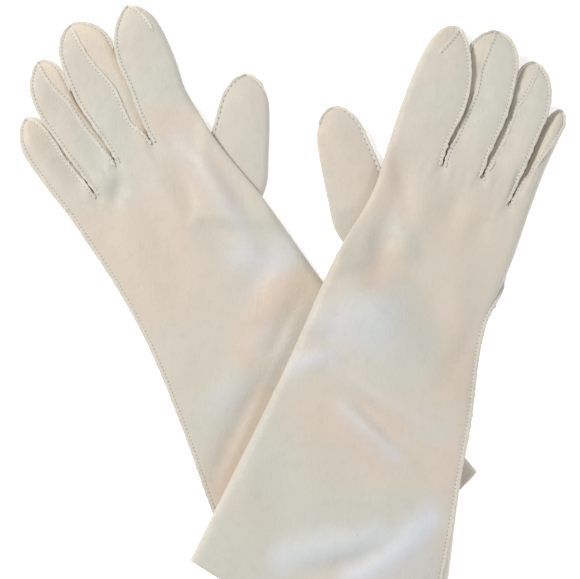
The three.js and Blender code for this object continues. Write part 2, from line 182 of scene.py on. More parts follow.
RIGHT = dict(
    name="right",
    mirror=1,
    position=(10.7, -154.3),
    lean=-17.1,
    hem=(19, -20),
    thumb_side=curve((19, -76), (143, -56), (206, -48), (250, -38.5), (273, -38.5)),
    little_side=curve((-20, 78), (51, 65), (100, 56), (141, 51), (189, 44), (237, 47.5), (258, 48)),
    seam_roll=8.5,
    seam_turned_in=1,
    index=dict(
        tip=347.5,
        dart=curve((328, -27), (334, -24.2), (340, -21.6), (345, -20.6), (348, -21.6)),
        dart_length=20,
        thumb_side=curve((273, -38.5), (297, -38), (323, -35.8), (336, -33.6), (350, -32)),
        little_side=curve((273, -5.9), (283, -6.4), (305, -2.9), (322, -4.6), (336, -9.6), (350, -14)),
        outer_seam=0.94,
    ),
    middle=dict(
        tip=351,
        thumb_side=curve((273, -5.9), (283, -7.4), (305, -4.4), (322, -6.4), (338, -11), (353, -10)),
        little_side=curve((273, 17), (282, 17.2), (295, 19), (309, 20.4), (326, 19.6), (353, 16)),
        back_seam=curve(
            (273, -5.7), (279, -4.4), (289, -2.2), (302, -0.8), (316, 0.7), (326, -0.5), (353, 1)),
        outer_seam=0.94,
    ),
    ring=RING,
    little=dict(
        tip=319,
        thumb_side=curve((262, 36), (273, 36.2), (284, 38.2), (300, 40), (316, 42.4), (321, 43.5)),
        little_side=curve((258, 48), (287, 49.8), (311, 53), (321, 54)),
        back_seam=curve(
            (262, 36.4), (273, 37.9), (278, 41.3), (289, 44.6), (299, 48), (308, 51), (321, 52.5)),
        seam_side=1,
    ),
    thumb=dict(pivot=(-36, 226), lean=30, tip=68.5),
    folds=(
        (8, -1.5, ((-27, 268), (-25, 235), (-25, 204), (-36, 204))),
        (9, 1.6, ((-12, 264), (-10, 235), (-12, 205))),
        (6, 0.9, ((-38, 235), (-34, 212))),
        (7, -1.3, ((6, 262), (8, 236))),
        (7, -1.2, ((26, 252), (24, 232))),
        (12, 1.4, ((18, 222), (28, 190), (38, 160))),
        (7, -1.2, ((44, 205), (36, 175), (30, 150))),
        (13, 1.8, ((-40, 176), (-20, 180), (-2, 172))),
        (6, -1.4, ((-50, 157), (-38, 160), (-22, 150))),
        (7, 1.5, ((-52, 141), (-36, 149))),
        (6, 1.5, ((-26, 146), (4, 136), (36, 128))),
        (5, -1.6, ((-24, 136), (-4, 127), (22, 114))),
        (5, 1.6, ((-22, 128), (-1, 117), (18, 107))),
        (14, -1.2, ((-30, 108), (-6, 96), (14, 84))),
        (6, -1.0, ((26, 112), (44, 100))),
        (8, 1.6, ((-28, 36), (-4, 49), (20, 64))),
        (6, -1.5, ((-14, 30), (12, 44), (34, 66))),
        (9, 2.0, ((14, 34), (34, 60), (46, 80))),
        (12, -1.0, ((-44, 90), (-34, 60), (-30, 30))),
        (10, 1.2, ((-62, 90), (-56, 50))),
    ),
    # Tones are (kind, strength, width, points). The bluish-white tones are painted highlights laid
    # along fold ridges; the warm tones are peach colouring of the leather.
    tones=(
        ("bright", 0.52, 20, ((-37, 168), (-29, 175), (-16, 182))),
        ("bright", 0.55, 9, ((-54, 139), (-46, 144), (-36, 151))),
        ("bright", 0.33, 9, ((-26, 145), (5, 136), (36, 128))),
        ("bright", 0.47, 7, ((-20, 127), (-1, 117), (16, 109))),
        ("bright", 0.75, 11, ((14, 36), (23, 45), (34, 61), (46, 80))),
        ("bright", 0.6, 12, ((-28, 36), (-3, 49), (20, 64))),
        ("bright", 0.4, 19, ((40, 70), (46, 50))),
        ("warm", 0.7, 13, ((-24, 200), (-18, 212))),
        ("warm", 0.6, 16, ((20, 205), (30, 180), (34, 160))),
        ("warm", 0.5, 10, ((2, 102), (10, 98))),
        ("warm", 0.35, 20, ((-50, 60), (-40, 40))),
    ),
)

LEFT = dict(
    name="left",
    mirror=-1,
    position=(48.5, -120.9),
    lean=28.96,
    hem=(22, -22),
    thumb_side=curve((22, -75.7), (157, -51.8), (213, -45.4), (264, -37.2), (273, -37)),
    little_side=curve((-22, 75.7), (73, 65), (130, 56), (178, 51), (209, 51), (247, 54), (258, 55)),
    seam_roll=0,
    seam_turned_in=0,
    index=dict(
        tip=344,
        dart=curve((324, -38.6), (332, -38.2), (338, -36), (344, -31)),
        dart_length=19,
        thumb_side=curve((273, -37), (289, -36.8), (303, -39.5), (318, -41.2), (345, -41)),
        little_side=curve((273, -5.9), (288, -7), (304, -9.4), (321, -11), (334, -16), (345, -22)),
        outer_seam=0.94,
    ),
    middle=dict(
        tip=350,
        thumb_side=curve(
            (273, -5.9), (283, -8), (288, -9.2), (304, -11.4), (321, -12.6), (338, -13), (353, -10)),
        little_side=curve((273, 17), (282, 17.2), (295, 18.8), (309, 20), (326, 18.6), (353, 14)),
        back_seam=curve((273, -5.6), (280, -2), (311, -1.3), (326, 1.8), (353, 2.4)),
        outer_seam=0.94,
    ),
    ring=RING,
    little=dict(
        tip=316,
        thumb_side=curve((262, 36), (276, 36.4), (284, 38), (300, 39), (316, 40)),
        little_side=curve((258, 55), (280, 58.6), (302, 60.4), (319, 58)),
        back_seam=curve((262, 36.4), (275, 38), (295, 40.8), (314, 45.6), (319, 47)),
    ),
    thumb=dict(pivot=(-34, 227), lean=32, tip=62.5),
    folds=(
        (7, 1.6, ((-20, 266), (-25, 240), (-25, 215), (-27, 185))),
        (7, -1.3, ((-31, 262), (-35, 235), (-36, 205))),
        (8, -1.3, ((-10, 260), (-12, 230), (-14, 200))),
        (9, 1.2, ((2, 258), (2, 230), (0, 200))),
        (5, -1.8, ((18, 263), (24, 256), (31, 250))),
        (8, 1.0, ((24, 268), (34, 262))),
        (8, -1.0, ((12, 250), (14, 225), (12, 200))),
        (9, 1.0, ((30, 240), (34, 210), (34, 180))),
        (8, -1.2, ((-38, 190), (-24, 178), (-8, 172))),
        (9, 1.2, ((-36, 172), (-20, 160), (-2, 156))),
        (7, -1.2, ((-32, 154), (-12, 140), (10, 134))),
        (10, 1.2, ((-8, 143), (14, 134), (34, 122))),
        (10, -1.0, ((6, 122), (30, 108), (50, 92))),
        (12, 0.9, ((40, 170), (44, 140))),
    ),
    # The bluish-white tones are painted highlights along fold ridges, as on the right glove.
    tones=(
        ("bright", 0.39, 9, ((-20, 264), (-25, 232), (-26, 190))),
        ("bright", 0.5, 15, ((-34, 180), (-24, 184), (-20, 192))),
        ("bright", 0.39, 12, ((-12, 145), (-4, 142))),
        ("bright", 0.33, 14, ((24, 128), (32, 124))),
        ("bright", 0.19, 22, ((0, 300), (20, 300))),
        ("warm", 0.95, 13, ((-40, 160), (-26, 164), (-8, 152), (4, 144))),
        ("warm", 0.8, 9, ((8, 118), (34, 98), (54, 82))),
        ("warm", 0.55, 16, ((-30, 275), (-14, 280))),
        ("warm", 0.45, 18, ((10, 225), (20, 200))),
    ),
)

THUMB_OUTER = ((-14, -12), (2, -18), (20, -18.3), (57, -16.7), (70, -15))
THUMB_INNER = ((-14, 10), (4, 14), (30, 15), (44, 12.5), (55, 10.5), (70, 8))
THUMB_LENGTH = 70
THUMB_ROOT = -14


def turned(pivot, degrees, across, along):
    """Places given from a pivot, on axes turned by some degrees, in the glove's frame."""
    turn = math.radians(degrees)
    return (
        pivot[0] + across * math.cos(turn) - along * math.sin(turn),
        pivot[1] + across * math.sin(turn) + along * math.cos(turn),
    )


def on_axes(pivot, degrees, x, y):
    """The reverse of turned: places as seen from a pivot, on axes turned by some degrees."""
    turn = math.radians(degrees)
    dx, dy = x - pivot[0], y - pivot[1]
    return dx * math.cos(turn) + dy * math.sin(turn), dy * math.cos(turn) - dx * math.sin(turn)


def on_table(glove, across, along):
    """A glove's places on the table, in millimetres."""
    return turned(glove["position"], glove["lean"], glove["mirror"] * across, along)


def drape(glove, across, along):
    """How high the right glove is carried by the left one's sleeve."""
    if glove is LEFT:
        return np.zeros(np.shape(across))
    left_across, left_along = on_axes(LEFT["position"], LEFT["lean"], *on_table(glove, across, along))
    left_across = -left_across
    past_sides = np.maximum(
        LEFT["thumb_side"](left_along) - left_across,
        left_across - LEFT["little_side"](left_along),
    )
    cuff_width = LEFT["little_side"](LEFT["hem"][1]) - LEFT["thumb_side"](LEFT["hem"][0])
    past_hem = mix(*LEFT["hem"], 0.5 + left_across / cuff_width) - left_along
    outside = np.hypot(np.maximum(past_sides, 0), np.maximum(past_hem, 0))
    return DRAPE_LIFT * (1 - smooth(outside, DRAPE_START, DRAPE_START + DRAPE_LENGTH))


def place(glove, local, draped=True):
    """Glove-frame points in millimetres as points in the row's frame, in metres."""
    local = np.asarray(local, float)
    across, along, height = np.moveaxis(local, -1, 0)
    x, y = on_table(glove, across, along)
    if draped:
        height = height + drape(glove, across, along)
    return np.stack([x, y, height], axis=-1) * MM


# -------------------- sections and surfaces


def section(turns, half, heights, sides, crown=0.0, roll=0.0, tuck=0.0):
    """Points round a flattened section. heights are those of its thumb and little-finger sides,
    sides how wide its rounded edges are. The far edge may have rolled onto the top by roll, and
    its underside may be tucked in by tuck."""
    low, high = heights
    near, far = sides
    top_left = -half + near
    top_right = half - (math.hypot(far, tuck / 2) - tuck / 2) - roll
    turns = (np.asarray(turns, float) + 1) % 6 - 1
    share = (turns + 1) / 2
    x = mix(top_left, top_right, share)
    z = mix(low, high, smooth(share)) + crown * np.clip(1 - turns**2, 0, 1)
    girth = math.pi * far + roll
    walked = (turns - 1) * girth
    angle = np.clip((walked - roll) / far, 0, math.pi)
    on_side = (turns > 1) & (turns <= 2)
    under_by = tuck * (1 - np.cos(angle)) / 2
    x = np.where(on_side, top_right + np.minimum(walked, roll) + far * np.sin(angle) - under_by, x)
    z = np.where(on_side, high / 2 + high / 2 * np.cos(angle), z)
    under = (turns > 2) & (turns <= 4)
    x = np.where(under, mix(top_right + roll - tuck, top_left, (turns - 2) / 2), x)
    z = np.where(under, 0, z)
    rising = turns > 4
    angle = (turns - 4) * math.pi
    x = np.where(rising, top_left - near * np.sin(angle), x)
    z = np.where(rising, low / 2 - low / 2 * np.cos(angle), z)
    return x, z


def surface(outline, stations, turns_at):
    """A grid of glove-frame points: rows along an outline, columns round its section."""
    rows = []
    for t in stations:
        middle = outline["along"](t, 0.5)
        edges = outline["edges"](middle)
        half = (edges[1] - edges[0]) / 2
        shape = outline["shape"](middle, half)
        turns = turns_at(middle, half, shape)
        x, z = section(turns, half, **shape)
        share = 0.5 + x / (2 * half)
        along = outline["along"](t, share)
        left = outline["edges"](outline["along"](t, 0.0))[0]
        right = outline["edges"](outline["along"](t, 1.0))[1]
        across = mix(left, right, share)
        rows.append(np.stack([across, along, z], axis=-1))
    return outline["finish"](np.array(rows))


def normals_of(grid):
    """Outward directions at the points of a grid."""
    around = np.gradient(grid, axis=1)
    along = np.gradient(grid, axis=0)
    normals = np.cross(around, along)
    return normals / np.maximum(np.linalg.norm(normals, axis=-1, keepdims=True), 1e-9)


def shell_mesh(name, outer, inner):
    """A closed mesh between two grids of points in metres."""
    rows, columns = outer.shape[:2]
    points = np.concatenate([outer.reshape(-1, 3), inner.reshape(-1, 3)])
    number = np.arange(rows * columns).reshape(rows, columns)
    under = number + rows * columns

    def quads(a, b, c, d):
        return np.stack([a, b, c, d], axis=-1).reshape(-1, 4)

    faces = [
        quads(number[:-1, :-1], number[:-1, 1:], number[1:, 1:], number[1:, :-1]),
        quads(under[:-1, :-1], under[1:, :-1], under[1:, 1:], under[:-1, 1:]),
        quads(number[0, 1:], number[0, :-1], under[0, :-1], under[0, 1:]),
        quads(number[-1, :-1], number[-1, 1:], under[-1, 1:], under[-1, :-1]),
        quads(number[:-1, 0], number[1:, 0], under[1:, 0], under[:-1, 0]),
        quads(number[1:, -1], number[:-1, -1], under[:-1, -1], under[1:, -1]),
    ]
    return make_object(name, points, np.concatenate(faces).tolist())


def make_object(name, points, faces, thread_from=None):
    """A mesh object with its faces turned outwards. Faces from thread_from on are thread."""
    mesh = bpy.data.meshes.new(name)
    mesh.from_pydata(np.asarray(points).tolist(), [], faces)
    if thread_from is not None:
        is_thread = np.arange(len(faces)) >= thread_from
        mesh.polygons.foreach_set("material_index", is_thread.astype(np.int32))
    turned_out = bmesh.new()
    turned_out.from_mesh(mesh)
    bmesh.ops.recalc_face_normals(turned_out, faces=turned_out.faces)
    turned_out.to_mesh(mesh)
    turned_out.free()
    mesh.shade_smooth()
    mesh.set_sharp_from_angle(angle=math.radians(SHARP_EDGE))
    obj = bpy.data.objects.new(name, mesh)
    bpy.context.scene.collection.objects.link(obj)
    return obj


def leather_piece(name, glove, grid, draped=True, wall=LEATHER, lift=0.0):
    """One leather piece, from its outer surface in glove-frame millimetres."""
    normals = normals_of(grid)
    room = np.maximum(grid[:, :, 2].max(axis=1), 0.6)
    walls = np.minimum(wall, 0.32 * room)[:, None, None]
    outer = place(glove, grid + normals * lift, draped)
    inner = place(glove, grid + normals * (lift - walls), draped)
    return shell_mesh(name, outer, inner)


# -------------------- outlines


def knuckle_line(across_share, left, right):
    """Where the hand ends and the fingers start, along, at shares of the width of the hand."""
    places = [0.0] + [(across - left) / (right - left) for across, _ in V_BOTTOMS] + [1.0]
    heights = [FINGER_BASE] + [along for _, along in V_BOTTOMS] + [LITTLE_BASE]
    return np.interp(across_share, places, heights)


def thumb_tunnel(glove, across, along):
    """1 over the root of the thumb, which lies under the hand, and 0 away from it."""
    thumb = glove["thumb"]
    thumb_across, thumb_along = on_axes(thumb["pivot"], thumb["lean"], across, along)
    outside = np.maximum(np.abs(thumb_across + 1.5) - 17.5, -thumb_along - 16)
    return 1 - smooth(outside, 0, 10)


def over_thumb(glove, across, along, height):
    """Heights on a hand or finger, with the leather raised where the thumb's root is under it."""
    top = np.clip(height / GLOVE_HEIGHT, 0, 1)
    return height + thumb_tunnel(glove, across, along) * mix(THUMB_HEIGHT + 0.4, 2.2, top)


def soft_noise(across, along, size, seed):
    """Slow, repeatable unevenness between about -1 and 1."""
    flat = [
        noise.noise(Vector((x / size, y / size, seed)))
        for x, y in zip(np.ravel(across), np.ravel(along))
    ]
    return np.reshape(flat, np.shape(across))


def relief(glove, across, along):
    """How far the leather of a hand and sleeve rises and falls."""
    height = 0.7 * soft_noise(across, along, 38, 3.1 * glove["mirror"])
    height += 0.22 * soft_noise(across, along, 13, 7.7 * glove["mirror"])
    for width, rise, points in glove["folds"]:
        distance, place_on = distance_to_line(across, along, points)
        fade = np.sin(math.pi * np.clip(0.08 + 0.84 * place_on, 0, 1))
        height += FOLD_DEPTH * rise * fade * np.exp(-((distance / (FOLD_WIDTH * width)) ** 2))
    for v_across, v_along in V_BOTTOMS:
        below = v_along - along
        crease = np.exp(-(((across - v_across) / 1.6) ** 2))
        height -= 2.2 * crease * (1 - smooth(below, 0, 13))
        pucker = np.cos((across - v_across) * 2 * math.pi / 5.5)
        reach = np.exp(-(((across - v_across) / 9) ** 2)) * smooth(below, 0, 3)
        height += 0.4 * pucker * reach * (1 - smooth(below, 3, 18))
    return height


def hand_outline(glove):
    left_end = glove["thumb_side"](FINGER_BASE)
    right_end = glove["little_side"](LITTLE_BASE)

    def along(t, share):
        return mix(mix(*glove["hem"], share), knuckle_line(share, left_end, right_end), t)

    def shape(middle, half):
        roll = glove["seam_roll"] * (1 - smooth(middle, *SEAM_ROLLS))
        crown = 1.0 * (1 - smooth(middle, 215, 268))
        radius = GLOVE_HEIGHT / 2
        return dict(heights=(GLOVE_HEIGHT,) * 2, sides=(radius, radius), crown=crown, roll=roll)

    def finish(grid):
        across, along_, height = np.moveaxis(grid, -1, 0)
        top = np.clip(height / GLOVE_HEIGHT, 0, 1)
        inside = mix(0.35, 1.0, smooth(from_edge(glove, across, along_), 0, 14))
        free = 1 - pressed(glove, across, along_)
        height = over_thumb(glove, across, along_, height)
        height += top * free * inside * relief(glove, across, along_)
        height = np.where(free < 1, np.minimum(height, GLOVE_HEIGHT + 0.2 + 3 * free), height)
        return np.stack([across, along_, height], axis=-1)

    return dict(
        along=along,
        edges=lambda v: (glove["thumb_side"](v), glove["little_side"](v)),
        shape=shape,
        finish=finish,
    )


def from_edge(glove, across, along):
    """How far inside the outline of the hand and sleeve a place is."""
    return np.minimum(across - glove["thumb_side"](along), glove["little_side"](along) - across)


def pressed(glove, across, along):
    """1 where the left glove lies flat under the right one, and 0 away from it."""
    if glove is RIGHT:
        return np.zeros(np.shape(across))
    place_on_right = on_axes(RIGHT["position"], RIGHT["lean"], *on_table(LEFT, across, along))
    return smooth(from_edge(RIGHT, *place_on_right), -10, -2)


def tip_share(along, tip):
    x = np.clip((along - tip + TIP_ROUNDING) / TIP_ROUNDING, 0, 1)
    return np.sqrt(1 - x**2.2)


def limb_outline(base, tip, thumb_side, little_side, height, low_side, finish, outermost=()):
    """A finger or thumb: base(share) is where it starts, low_side the height of its thumb side.
    A side that is outermost on the hand keeps its full rounding down to the base."""

    def edges(along):
        centre = (thumb_side(along) + little_side(along)) / 2
        half = (little_side(along) - thumb_side(along)) / 2
        half = np.maximum(half * tip_share(along, tip), TIP_HALF_WIDTH)
        return centre - half, centre + half

    def along(t, share):
        return mix(base(share), tip, t)

    def shape(middle, half):
        end = tip_share(middle, tip)
        opened = smooth(middle - base(0.5), 0, 15)
        tall = mix(TIP_HEIGHT, height, end)
        low = mix(TIP_HEIGHT, mix(height, low_side, opened), end)
        near = mix(1.0, low / 2, 1 if "near" in outermost else opened)
        far = tall / 2 if "far" in outermost else mix(1.0, 2.2, opened)
        tuck = 0 if "far" in outermost else min(FINGER_TUCK * opened, half)
        sides = (min(near, half * 0.8), min(far, half * 0.8))
        return dict(heights=(low, tall), sides=sides, crown=0.9 * opened * end, tuck=tuck)

    return dict(along=along, edges=edges, shape=shape, finish=finish)


def finger_relief(glove, seed):
    """Fingers carry on the hand's relief at the knuckles and have their own further up."""

    def finish(grid):
        across, along, height = np.moveaxis(grid, -1, 0)
        top = np.clip(height / GLOVE_HEIGHT, 0, 1)
        hand = relief(glove, across, np.minimum(along, FINGER_BASE))
        own = 0.45 * soft_noise(across, along, 11, seed)
        own += 0.16 * soft_noise(across, along, 4, seed + 5)
        share = smooth(along, FINGER_BASE - 3, FINGER_BASE + 16)
        edge = mix(0.35, 1.0, smooth(from_edge(glove, across, np.minimum(along, FINGER_BASE)), 0, 14))
        height = over_thumb(glove, across, along, height)
        height += top * mix(edge * hand, own, share)
        return np.stack([across, along, height], axis=-1)

    return finish


def finger_outline(glove, name):
    finger = glove[name]
    starts = dict(
        index=(FINGER_BASE, FINGER_BASE),
        middle=(FINGER_BASE, FINGER_BASE),
        ring=(FINGER_BASE, V_BOTTOMS[2][1]),
        little=(V_BOTTOMS[2][1], LITTLE_BASE),
    )[name]
    low_side = dict(index=8.4, middle=6.6, ring=6.6, little=6.2)[name]
    return limb_outline(
        base=lambda share: mix(*starts, share),
        tip=finger["tip"],
        thumb_side=finger["thumb_side"],
        little_side=finger["little_side"],
        height=GLOVE_HEIGHT,
        low_side=low_side,
        finish=finger_relief(glove, 11.0 + len(name) + glove["mirror"]),
        outermost=dict(index=("near",), little=("far",)).get(name, ()),
    )


def thumb_outline(glove):
    thumb = glove["thumb"]
    stretch = thumb["tip"] / THUMB_LENGTH

    def stretched(points):
        return curve(*((q * stretch if q > 0 else q, p) for q, p in points))

    def finish(grid):
        p, q, height = np.moveaxis(grid, -1, 0)
        across, along = turned(thumb["pivot"], thumb["lean"], p, q)
        top = np.clip(height / THUMB_HEIGHT, 0, 1) * smooth(q, 5, 40)
        height = height + top * 0.6 * soft_noise(across, along, 14, 21.0 + glove["mirror"])
        return np.stack([across, along, height], axis=-1)

    return limb_outline(
        base=lambda share: THUMB_ROOT + 0 * share,
        tip=thumb["tip"],
        thumb_side=stretched(THUMB_OUTER),
        little_side=stretched(THUMB_INNER),
        height=THUMB_HEIGHT,
        low_side=THUMB_HEIGHT,
        finish=finish,
        outermost=("near", "far"),
    )


def limb_stations(outline, rows=34, tip_rows=14):
    """Stations along a limb, closer together round its tip."""
    length = outline["along"](1, 0.5) - outline["along"](0, 0.5)
    rounding = TIP_ROUNDING / length
    body = np.linspace(0, 1 - rounding, rows)
    angles = np.radians(np.linspace(0, 90, tip_rows + 1)[1:])
    return np.concatenate([body, 1 - rounding * (1 - np.sin(angles))])


def hand_stations(rows=118):
    """Stations along a hand, from the cuff to the knuckles, closer together at the cuff's edge."""
    return np.concatenate([[0, 0.0015, 0.004], np.linspace(0.01, 1, rows)])


# -------------------- places round a section


def spaced_turns(start, end, count, half, shape):
    """Turns from start to end, evenly spaced along the leather."""
    near, far = shape["sides"]
    tuck, roll = shape.get("tuck", 0), shape.get("roll", 0)
    flat = 2 * half - near - far
    walks = [flat - roll, math.hypot(math.pi * far, tuck) + roll, flat - tuck, math.pi * near]
    spans = [2, 1, 2, 1]
    knots = -7 + np.concatenate([[0], np.cumsum(spans * 3)])
    walked = np.concatenate([[0], np.cumsum(walks * 3)])
    ends = np.interp([start, end], knots, walked)
    return np.interp(np.linspace(*ends, count), walked, knots)


def side_seam_turn(glove, middle, half, shape):
    """Where the side seam is: just round the little-finger side, inboard of it near the cuff if
    that side has rolled onto the top, and underneath by the little finger if it has turned in."""
    girth, roll = math.pi * shape["sides"][1], shape.get("roll", 0)
    hidden = glove["seam_turned_in"] * smooth(middle, *SEAM_TURNS_IN)
    walk = mix(SIDE_SEAM_TURN, HIDDEN_SEAM_TURN, hidden) * girth + 0.28 * roll
    return float(1 + walk / (girth + roll))


def turn_of_line(finger, line):
    """Where a line drawn along a finger's back, such as its back seam, is on its section."""

    def at(glove, middle, half, shape):
        centre = (finger["thumb_side"](middle) + finger["little_side"](middle)) / 2
        near, far = shape["sides"]
        top = 2 * half - near - far
        from_left = max(line(middle) - centre + half - near, 0.04 * top)
        if from_left <= top:
            return float(2 * from_left / top - 1)
        return float(1 + math.asin(min((from_left - top) / far, 0.9)) / math.pi)

    return at


def fixed_turn(turn):
    return lambda glove, middle, half, shape: turn


def strip(outline, glove, stations, start, end, columns):
    """The grid of a piece between two seams, each given by its turn."""

    def turns_at(middle, half, shape):
        first = start(glove, middle, half, shape)
        last = end(glove, middle, half, shape)
        if last <= first:
            last += 6
        return spaced_turns(first, last, columns, half, shape)

    return surface(outline, stations, turns_at)


# -------------------- seams

# Half of the section through two pressed edges: shares of their width and thickness. The last
# point is set back, so the two cut edges show with a groove between them.
PRESSED_EDGES = ((-0.5, 0.36), (0.0, 0.46), (0.35, 0.5), (0.75, 0.46), (1, 0.22), (0.88, 0.04))


def seam_path(outline, glove, stations, turn):
    """Points along a seam."""

    def turns_at(middle, half, shape):
        return np.array([turn(glove, middle, half, shape)])

    return surface(outline, stations, turns_at)[:, 0]


def near_tip(outline, stations, length):
    """The stations in the last stretch of a limb, from its tip back."""
    tip = outline["along"](1, 0.5)
    return stations[outline["along"](stations, 0.5) > tip - length][::-1]


def with_tail(points):
    """A seam's path with a frayed end added, running on back from where it starts."""
    back = points[0] - points[4]
    back[2] = 0
    back /= np.linalg.norm(back)
    rise = np.array([0, 0, 0.5])
    added = [points[0] + share * (back * SEAM_TAIL + rise) for share in (1, 0.66, 0.33)]
    return np.concatenate([added, points])


def evenly(points, step):
    """A path with its points a step apart, and how far along it each one is."""
    walked = np.concatenate([[0], np.cumsum(np.linalg.norm(np.diff(points, axis=0), axis=1))])
    places = np.arange(0, walked[-1] + step / 2, step)
    spread = [np.interp(places, walked, points[:, k]) for k in range(3)]
    return np.stack(spread, axis=-1), places


def directions(points, side, tilt):
    """Unit vectors along a seam, out to one side of it, and up from that side."""
    padded = np.concatenate([points[:1]] * 3 + [points] + [points[-1:]] * 3)
    ahead = padded[6:] - padded[:-6]
    ahead /= np.linalg.norm(ahead, axis=-1, keepdims=True)
    flat_out = side * np.cross(ahead, (0, 0, 1))
    flat_out /= np.maximum(np.linalg.norm(flat_out, axis=-1, keepdims=True), 0.2)
    angle = np.radians(np.broadcast_to(tilt, len(points)))[:, None]
    upright = np.array([0, 0, 1.0])
    out = np.cos(angle) * flat_out + np.sin(angle) * upright
    up = np.cos(angle) * upright - np.sin(angle) * flat_out
    return ahead, out, up


def ripple(walked, length, seed):
    """A wave along a seam that never quite repeats."""
    return np.array([noise.noise(Vector((place_on / length, seed, 0.5))) for place_on in walked])


def seam_piece(
    name, glove, points, width, side, tilt=SEAM_TILT, draped=True, seed=0.0, stitch=STITCH, waviness=1.0
):
    """Two leather edges pressed together and sewn, standing out to one side of the seam."""
    points, walked = evenly(points, 0.9)
    ahead, out, up = directions(points, side, tilt(points) if callable(tilt) else tilt)
    gathered = (waviness + 2.2 * np.exp(-walked / 13))[:, None]
    wave = ripple(walked, 4.5, seed)[:, None] * gathered
    pucker = (ripple(walked, 2.3, seed + 4) + 0.5 * ripple(walked, 0.9, seed + 8))[:, None]
    ends = (smooth(walked, 0, 2.5) * smooth(walked[-1] - walked, 0, 2.5))[:, None]
    widths = width(points)[:, None] if callable(width) else width
    widths = widths * (1 + 0.2 * pucker * gathered) * mix(0.4, 1, ends)
    thickness = SEAM_THICKNESS * mix(0.5, 1, ends)
    under = [(d, -t) for d, t in PRESSED_EDGES[::-1]]
    rings = [
        points + out * d * widths + up * (t * thickness + 0.42 * wave * max(d, 0))
        for d, t in (*PRESSED_EDGES, *under)
    ]
    rings = np.stack(rings, axis=1)
    rings[..., 2] = np.maximum(rings[..., 2], 0.1)
    rows, columns = rings.shape[:2]
    number = np.arange(rows * columns).reshape(rows, columns)
    following = np.roll(number, -1, axis=1)
    sides = np.stack([number[:-1], following[:-1], following[1:], number[1:]], axis=-1)
    faces = sides.reshape(-1, 4).tolist() + [number[0].tolist(), number[-1].tolist()]
    stitches, stitch_faces = seam_stitches(points, (ahead, out, up), walked, stitch, rows * columns)
    everything = np.concatenate([rings.reshape(-1, 3), stitches])
    return make_object(
        name, place(glove, everything, draped), faces + stitch_faces, thread_from=len(faces))


def seam_stitches(points, axes, walked, stitch, first_number):
    """A row of short stitches sunk in the leather, where the pressed edges leave it."""
    length, broad, tall, pitch = stitch
    angles = np.arange(6) * math.pi / 3
    corners, faces = [], []
    for centre in np.arange(pitch, walked[-1] - pitch / 2, pitch):
        middle, forward, sideways, upward = (
            np.array([np.interp(centre, walked, values[:, k]) for k in range(3)])
            for values in (points, *axes)
        )
        middle = middle - sideways * 0.35 + upward * 0.12
        start = first_number + len(corners)
        corners.append(middle - forward * length / 2)
        for reach, girth in ((-0.3, 0.85), (0, 1), (0.3, 0.85)):
            for angle in angles:
                spread = sideways * broad / 2 * math.cos(angle)
                rise = upward * tall / 2 * math.sin(angle)
                corners.append(middle + forward * length * reach + girth * (spread + rise))
        corners.append(middle + forward * length / 2)
        for k in range(6):
            following = (k + 1) % 6
            faces.append([start, start + 1 + k, start + 1 + following])
            faces.append([start + 19, start + 13 + following, start + 13 + k])
            for ring in (1, 7):
                low, high = start + ring, start + ring + 6
                faces.append([low + k, low + following, high + following, high + k])
    return np.array(corners), faces


# -------------------- materials


def link(tree, value, socket):
    """Joins another node's output to a socket, or sets the socket to a value."""
    if isinstance(value, bpy.types.NodeSocket):
        tree.links.new(value, socket)
    else:
        socket.default_value = value


def add_node(tree, kind, inputs=(), **settings):
    node = tree.nodes.new("ShaderNode" + kind)
    for name, value in settings.items():
        setattr(node, name, value)
    for name, value in dict(inputs).items():
        link(tree, value, node.inputs[name])
    return node


def texture(tree, kind, scale, detail=2.0, stretch=(1, 1, 1), turn=0.0, **inputs):
    """A noise or Voronoi pattern whose features are about 1/scale metres across."""
    place_on = add_node(tree, "TexCoord").outputs["Object"]
    spread = add_node(
        tree, "Mapping", {"Vector": place_on, "Scale": stretch, "Rotation": (0, 0, turn)})
    inputs = {"Vector": spread.outputs["Vector"], "Scale": scale, **inputs}
    if kind == "TexNoise":
        inputs["Detail"] = detail
    return add_node(tree, kind, inputs)


def ramp(tree, value, low, high, start=0.0, end=1.0):
    """Maps a value between low and high to between start and end, held at both ends."""
    return add_node(
        tree, "MapRange",
        {"Value": value, "From Min": low, "From Max": high, "To Min": start, "To Max": end},
        interpolation_type="SMOOTHSTEP",
    ).outputs["Result"]


def tint(tree, share, base, colour):
    """base, moved towards a colour by a share."""
    blend = add_node(tree, "Mix", data_type="RGBA")
    link(tree, share, blend.inputs["Factor"])
    link(tree, base, blend.inputs["A"])
    link(tree, colour, blend.inputs["B"])
    return blend.outputs["Result"]


def bump(tree, height, depth, strength, before=None):
    node = add_node(tree, "Bump", {"Height": height, "Distance": depth, "Strength": strength})
    if before is not None:
        link(tree, before, node.inputs["Normal"])
    return node.outputs["Normal"]


def srgb(red, green, blue):
    """A colour as seen on a screen, 0 to 255, as the numbers that a shader takes."""
    shares = [channel / 255 for channel in (red, green, blue)]
    return (*[c / 12.92 if c < 0.04 else ((c + 0.055) / 1.055) ** 2.4 for c in shares], 1)


CREAM = srgb(199, 191, 178)
PEACH = srgb(206, 188, 170)
COOL = srgb(190, 193, 184)
PALE = srgb(208, 201, 189)
SEAM_PALE = srgb(203, 197, 185)
RAW_EDGE = srgb(180, 168, 148)
SHADE = srgb(166, 152, 134)
# The bluish white of a painted highlight, standing in for a window's reflection on the fold ridges.
PAINTED_HIGHLIGHT_COLOUR = srgb(205, 208, 215)
SPECK = srgb(120, 98, 74)
# Thread colour, darkened as painted shade for the stitch holes.
THREAD_AND_HOLE_SHADE = srgb(128, 124, 114)


